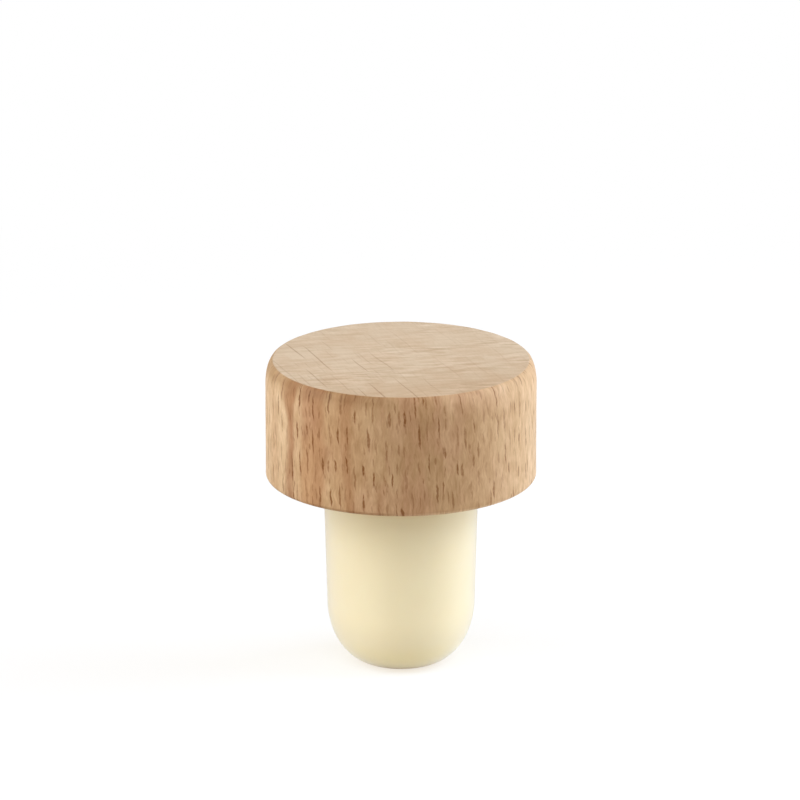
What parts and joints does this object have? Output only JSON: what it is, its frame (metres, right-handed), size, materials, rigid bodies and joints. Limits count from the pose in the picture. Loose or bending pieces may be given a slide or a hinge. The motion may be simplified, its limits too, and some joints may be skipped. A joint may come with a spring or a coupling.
{
  "type": "bottle stopper",
  "caption": "T-shaped bottle stopper: a flat round beech cap with a softened shoulder, glued onto a tapered cream polymer plug with a rounded end.",
  "frame": {"origin": "centre of the plug's flat foot, which the stopper stands on", "axes": "+Z along the stopper's axis, from the plug's foot to the cap's top face; X and Y are alike"},
  "size_m": [0.03, 0.03, 0.035],
  "materials": {
    "beech": "unvarnished turned beech, end grain on top, satin from sanding",
    "cream_polymer": "smooth moulded cream polymer, satin"
  },
  "bodies": {
    "root": {"wooden_cap": "beech", "polymer_plug": "cream_polymer"}
  },
  "joints": []
}
